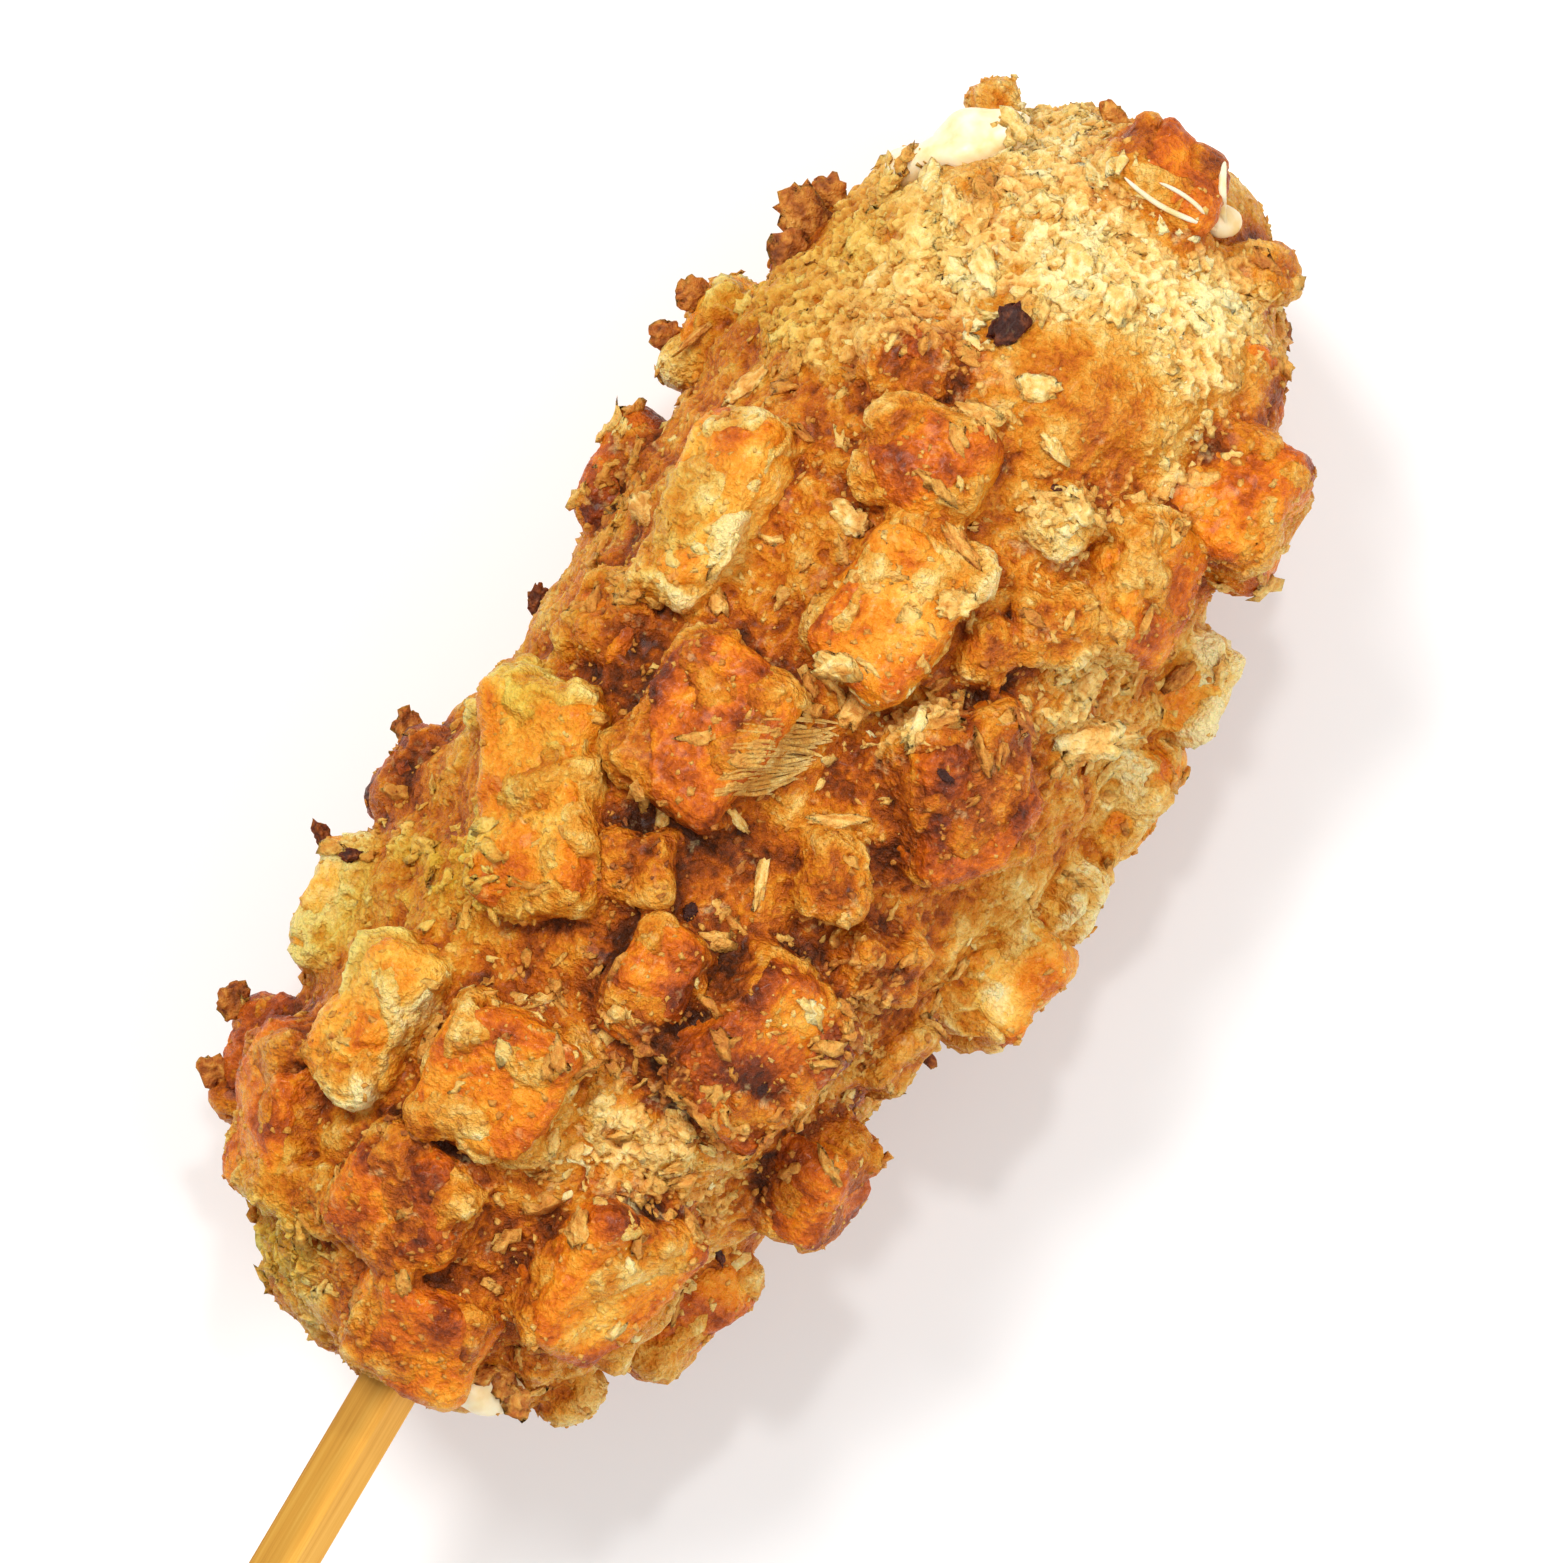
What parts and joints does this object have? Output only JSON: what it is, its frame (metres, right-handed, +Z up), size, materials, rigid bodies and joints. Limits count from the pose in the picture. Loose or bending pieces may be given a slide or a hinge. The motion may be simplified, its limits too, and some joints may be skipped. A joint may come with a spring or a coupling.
{
  "type": "corn dog",
  "caption": "Fried corn dog with blocks of potato set in its crumbed batter and cheese coming through, on a square wooden stick, lying on its side.",
  "frame": {"origin": "on the surface that it lies on, under the middle of the whole object's box", "axes": "+Y runs from the stick's free end to the food's tip, +Z is up, and the side with the most detail faces up"},
  "size_m": [0.0664, 0.2232, 0.0584],
  "materials": {
    "batter": "fried batter and crumbs, dry with a little oil",
    "potato": "fried potato, golden to red-brown, slightly oily",
    "cheese": "melted pale cheese, soft sheen",
    "stick": "plain sawn bamboo, fine lengthwise grain"
  },
  "bodies": {
    "root": {"batter": "batter", "cheese_drop": "cheese", "cheese_foot": "cheese", "cheese_tip": "cheese", "potato_01": "potato", "potato_02": "potato", "potato_03": "potato", "potato_04": "potato", "potato_05": "potato", "potato_06": "potato", "potato_07": "potato", "potato_08": "potato", "potato_09": "potato", "potato_10": "potato", "potato_11": "potato", "potato_12": "potato", "potato_13": "potato", "potato_14": "potato", "potato_15": "potato", "potato_16": "potato", "potato_17": "potato", "potato_18": "potato", "potato_19": "potato", "potato_20": "potato", "potato_21": "potato", "potato_22": "potato", "potato_23": "potato", "potato_24": "potato", "potato_25": "potato", "potato_26": "potato", "potato_27": "potato", "potato_28": "potato", "potato_29": "potato", "potato_30": "potato", "potato_31": "potato", "potato_32": "potato", "potato_33": "potato", "potato_34": "potato", "potato_35": "potato", "potato_36": "potato", "potato_37": "potato", "potato_38": "potato", "potato_39": "potato", "potato_40": "potato", "potato_41": "potato", "potato_42": "potato", "potato_43": "potato", "potato_44": "potato", "potato_45": "potato", "potato_46": "potato", "potato_47": "potato", "potato_48": "potato", "potato_49": "potato", "potato_50": "potato", "potato_51": "potato", "potato_52": "potato", "potato_53": "potato", "potato_54": "potato", "stick": "stick"}
  },
  "joints": []
}
